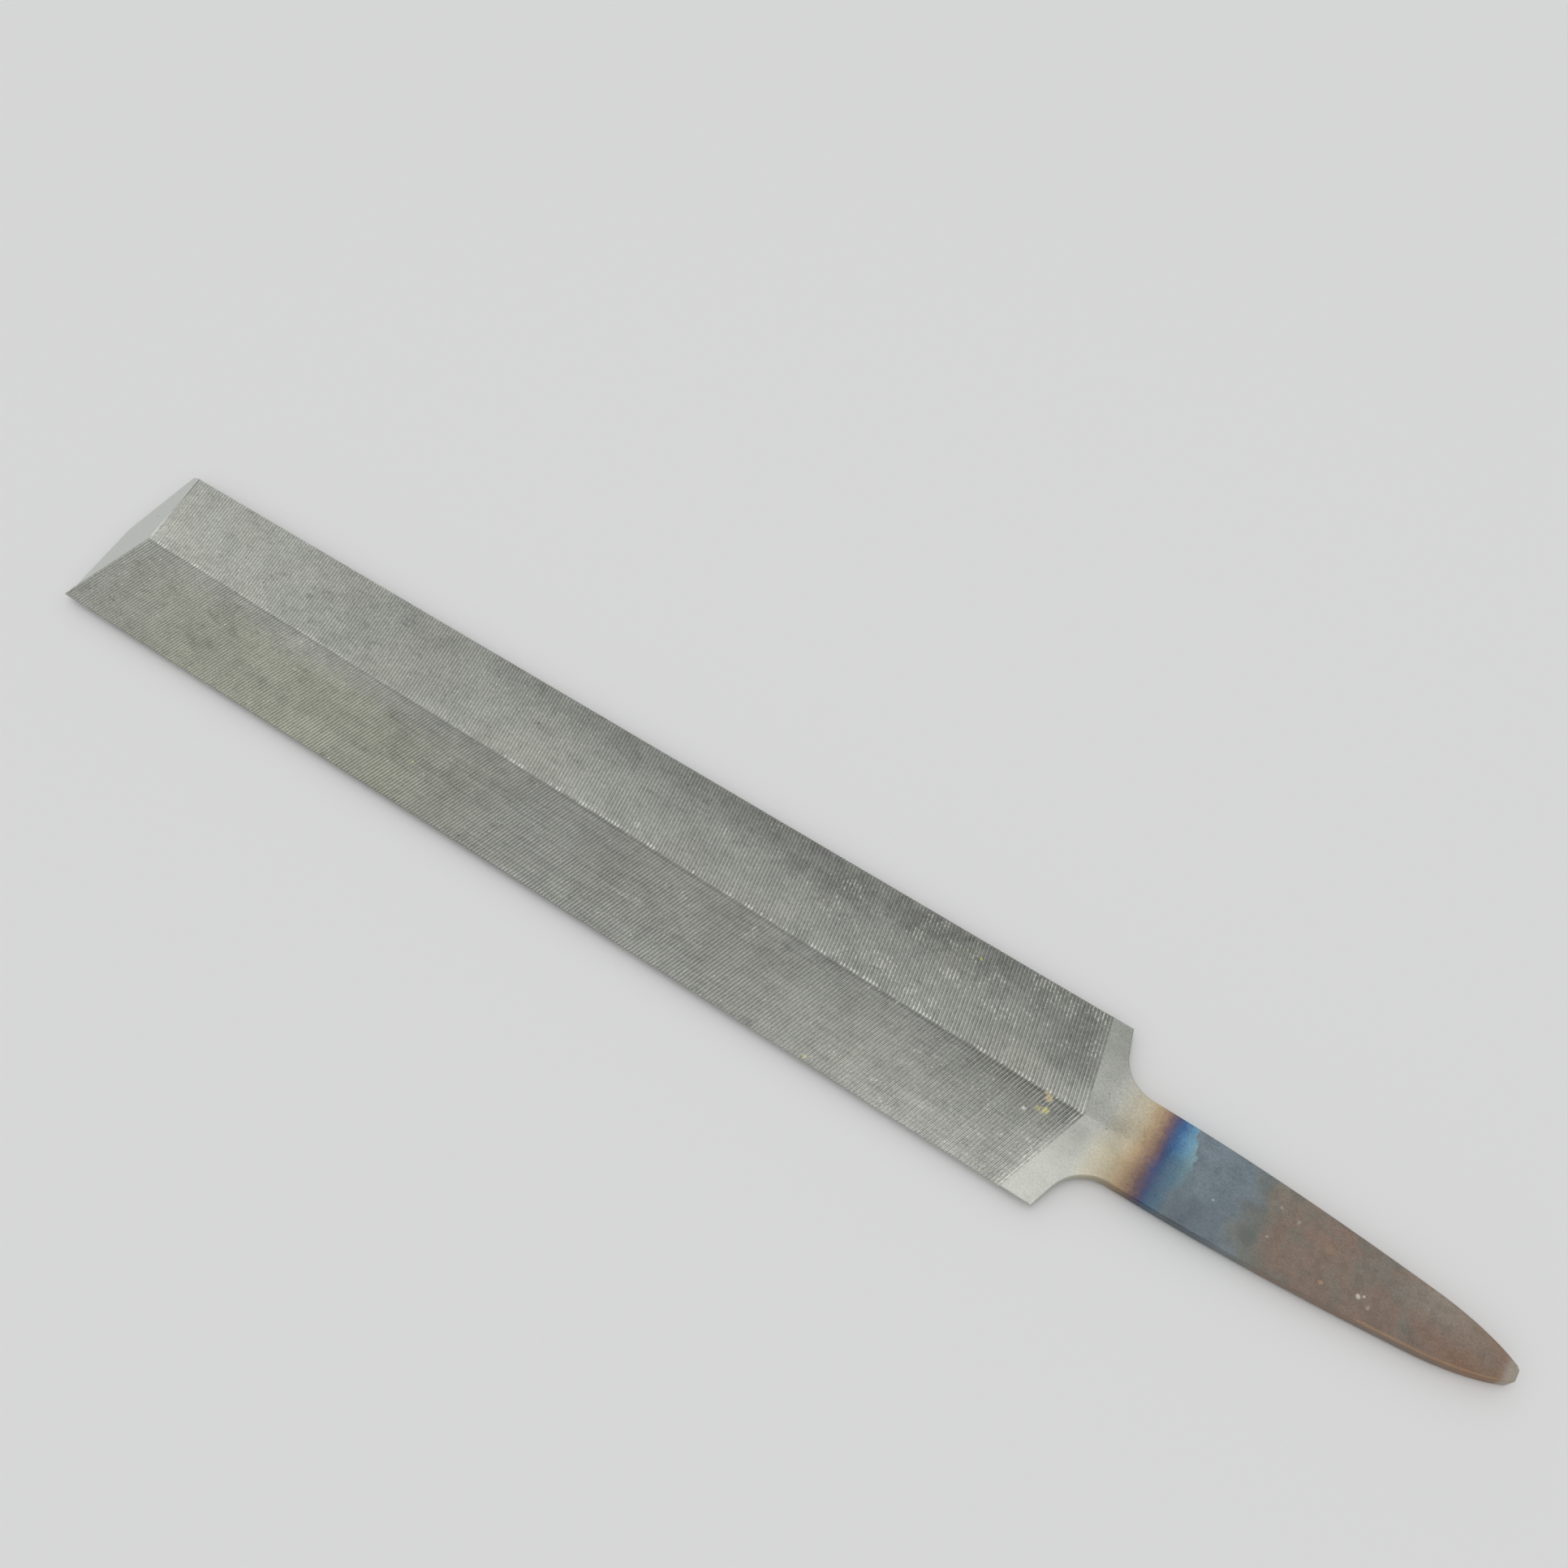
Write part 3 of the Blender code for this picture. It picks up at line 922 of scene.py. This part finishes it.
def dirt_tone(n, place):
    """Clouds and smudges, grime by the far edge, and blotches and stains towards the tip."""
    x, y, z = place
    cloud = n.cloud(place, layer=3.0, scale=0.30)
    smudge = n.cloud((n.multiply(x, 0.7), y, z), layer=13.0, scale=1.1, roughness=0.65)
    tone = n.remap(cloud, 0.34, 0.62, 0.92, 1.04)
    tone = n.multiply(tone, n.remap(smudge, 0.32, 0.46, 0.84, 1.0))
    grime = n.remap(n.cloud(place, layer=47.0, scale=0.55, roughness=0.7), 0.44, 0.58)
    grime = n.multiply(grime, n.window(x, 13.0, 30.0, 4.0))
    tone = n.darker(tone, n.multiply(grime, n.window(y, -7.6, -5.4, 1.6)), 0.20)
    blotch = n.cloud((n.multiply(x, 0.8), y, z), layer=67.0, scale=0.42, detail=3.0)
    blotch = n.multiply(n.remap(blotch, 0.47, 0.60), n.window(x, 62.0, 86.0, 8.0))
    tone = n.darker(tone, n.multiply(blotch, n.window(y, 1.0, 6.0, 1.0)), 0.09)
    stain = n.window(n.cloud(place, layer=61.0, scale=1.3, detail=2.0, roughness=0.4), 0.53, 0.56, 0.03)
    stain = n.multiply(stain, n.window(x, 73.0, 91.0, 5.0))
    return n.darker(tone, n.multiply(stain, n.remap(y, 0.5, -1.0)), 0.09)


def grain_tone(n, place):
    """Fine scratches along the file, and grain of two sizes."""
    x, y, z = place
    scratch = n.cloud((n.multiply(x, 0.03), y, z), layer=5.0, scale=4.5, detail=3.0)
    shown = n.multiply(n.remap(y, -0.5, 0.5, 0.04, 0.11), n.remap(x, 78.0, 58.0, 0.35, 1.0))
    shown = n.multiply(shown, n.madd(n.window(x, 38.0, 60.0, 8.0), 0.5, 1.0))
    tone = n.madd(n.remap(scratch, 0.36, 0.60, -1.0, 0.7), shown, 1.0)
    fine = n.cloud(place, layer=0.0, scale=5.0, roughness=0.8)
    tone = n.multiply(tone, n.remap(fine, 0.35, 0.65, 0.78, 1.24, smooth=False))
    coarse = n.cloud(place, layer=37.0, scale=2.2, detail=3.0, roughness=0.7)
    coarse = n.remap(coarse, 0.35, 0.65, -1.0, 1.0, smooth=False)
    uneven = n.multiply(n.remap(y, -0.5, 0.5, 0.09, 0.05), n.remap(x, 90.0, 70.0, 0.8, 1.0))
    return n.multiply(tone, n.madd(coarse, uneven, 1.0))


def painted_ridge_glints(n, x, y, number, crest):
    """Painted glints of burrs in a row along the ridge, in uneven runs."""
    glint_bead = n.remap(n.absolute(n.add(y, 0.03)), 0.07, 0.19, 1.0, 0.0)
    uneven = n.noise(n.vector(n.multiply(number, 3.7), 0.5, 0.5), 1.0, 2.0)
    glint_bead = n.multiply(n.multiply(glint_bead, crest), n.remap(uneven, 0.40, 0.62, 0.2, 2.2))
    runs = n.noise(n.vector(n.multiply(number, 0.31), 7.5, 0.5), 1.0, 2.0)
    glint_bead = n.multiply(glint_bead, n.remap(runs, 0.42, 0.60, 0.15, 1.6))
    return n.darker(glint_bead, n.window(x, 58.0, 90.0, 5.0), 0.75)


def crest_dashes(n, x, y, number, crest):
    """Short burrs that catch the light on the crests, in clusters."""
    dashes = n.noise(n.vector(n.multiply(number, 5.3), n.multiply(y, 2.6), 3.0), 1.0, 3.0, 0.7)
    cluster = n.noise(n.vector(x, y, 23.0), 0.35, 4.0, 0.7)
    zone = n.madd(n.remap(x, 48.0, 18.0), 0.12, n.multiply(n.subtract(cluster, 0.54), 1.2))
    zone = n.madd(n.remap(y, -0.4, 0.4), -0.05, zone)
    for middle_x, middle_y, radius in GLINTS:
        distance = n.distance(x, y, middle_x, middle_y)
        zone = n.madd(n.remap(distance, radius, 0.2 * radius), 0.20, zone)
    start = n.subtract(0.68, zone)
    return n.multiply(n.remap(n.subtract(dashes, start), 0.0, 0.10), crest)


def body_colour(n, place):
    """Grey file steel, olive on the near side towards the tip, with painted light and shade on the facets
    and teeth, dirt, scratches, burrs and painted glints.
    """
    x, y = place[:2]
    olive = n.multiply(n.remap(y, 0.5, 3.0), n.window(x, 66.0, 86.0, 16.0))
    patch = n.cloud(place, layer=7.0, scale=0.12, detail=3.0, roughness=0.5)
    olive = n.madd(n.remap(patch, 0.45, 0.60), 0.12, n.multiply(olive, 0.75))
    grey = n.mix(olive, seen(STEEL_GREY), seen(STEEL_OLIVE))
    tooth = n.attribute("tooth")
    number = n.math("FLOOR", tooth)
    crest = n.absolute(n.subtract(n.fract(tooth), CREST_PLACE))
    crest = n.remap(crest, 0.05, 0.38, 1.0, 0.0)
    # Painted light and shade: the facets lit unevenly, highlights on the crests and shade in the roots.
    tone = n.multiply(facet_light_and_tone(n, x, y), tooth_highlight_and_shade(n, x, y, tooth, crest))
    tone = n.multiply(tone, n.multiply(dirt_tone(n, place), grain_tone(n, place)))
    pit = n.specks(place, layer=53.0, scale=0.9, share=0.18, size=0.15)
    burr = n.specks(place, layer=41.0, scale=1.6, share=0.38, size=0.16)
    tone = n.madd(burr, BURR_PALER, n.darker(tone, pit, PIT_DARKER))
    dash = crest_dashes(n, x, y, number, crest)
    glint = n.madd(dash, DASH_SHARE, painted_ridge_glints(n, x, y, number, crest))
    return n.scale_colour(grey, n.madd(glint, GLINT_PALER, tone))


def bare_colour(n, place, tip, grain):
    """The steel without teeth: tang, heel and the slanted tip, with a fine grain, pits and pale specks."""
    bare = n.mix(n.remap(place[0], -2.4, -0.6), tang_colour(n, place), heel_colour(n, place))
    bare = n.mix(tip, bare, seen(TIP_GREY))
    pit = n.specks(place, layer=71.0, scale=0.8, share=0.25, size=0.11)
    pale = n.specks(place, layer=83.0, scale=0.9, share=0.25, size=0.12)
    bare = n.scale_colour(bare, n.madd(pale, 0.16, n.madd(pit, -0.30, 1.0)))
    grainy = n.remap(grain, 0.30, 0.70, -0.20, 0.21, smooth=False)
    return n.scale_colour(bare, n.madd(grainy, n.madd(tip, -0.7, 1.0), 1.0))


def add_chips(n, x, y, z, colour):
    """Lays the chips and grit over the colour of the upper side."""
    wobble = n.noise(n.vector(x, y, 1.0), 5.0, 2.0)
    for place_x, place_y, radius, chip in CHIPS:
        distance = n.distance(x, y, place_x, place_y)
        distance = n.madd(n.subtract(wobble, 0.5), 1.4 * radius, distance)
        spot = n.remap(distance, 0.5 * radius, 1.1 * radius, 1.0, 0.0)
        spot = n.multiply(spot, n.remap(z, 0.0, 0.05))
        colour = n.mix(spot, colour, seen(chip))
    return colour


def steel_colour(n, x, y, z, grain):
    """The colour of the whole file, with a painted highlight along the line where the far facet meets the
    slanted tip.
    """
    place = (x, y, n.multiply(z, 5.0))
    tip = n.attribute("tip")
    colour = n.mix(n.attribute("toothed"), bare_colour(n, place, tip, grain), body_colour(n, place))
    # A painted highlight along the far border of the slanted tip.
    border = n.multiply(n.window(tip, 0.25, 0.75, 0.2), n.remap(y, -0.1, -0.4))
    border = n.multiply(border, n.remap(y, -13.0, -1.5))
    colour = n.scale_colour(colour, n.madd(border, 0.9, 1.0))
    return add_chips(n, x, y, z, colour)


def steel_material():
    """One material for the whole bar. Inside it y runs from the ridge, and depth counts five times."""
    material = bpy.data.materials.new("worn file steel")
    n = Nodes(material)
    x, y, z = n.place_mm()
    ridge_end = (RIDGE_END_X - HEEL_X) / MM
    ridge = n.remap(x, 0.0, ridge_end, RIDGE_OFF_HEEL / MM, RIDGE_OFF_TIP / MM, smooth=False)
    y = n.subtract(y, ridge)
    grain = n.noise(n.vector(x, y, n.multiply(z, 5.0)), 6.0, 4.0, 0.7)
    rusty = n.remap(x, -10.0, -16.0)
    rough = n.remap(n.attribute("toothed"), 0.0, 1.0, SMOOTH_ROUGHNESS, TOOTHED_ROUGHNESS)
    rough = n.madd(rusty, RUST_ROUGHER, rough)
    rough = n.madd(n.subtract(grain, 0.5), GRAIN_ROUGHNESS, rough)
    n.put(n.shader.inputs["Base Color"], steel_colour(n, x, y, z, grain))
    n.put(n.shader.inputs["Metallic"], n.madd(rusty, -RUST_LESS_METALLIC, 1.0))
    n.put(n.shader.inputs["Roughness"], rough)
    n.put(n.shader.inputs["Normal"], n.bump(grain, GRAIN_BUMP, GRAIN_HEIGHT))
    return material


steel_file = build_file()
steel_file.data.materials.append(steel_material())
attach(steel_file, "root")
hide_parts(NODE)
build_floor()
build_room()
build_key_light()
build_camera()
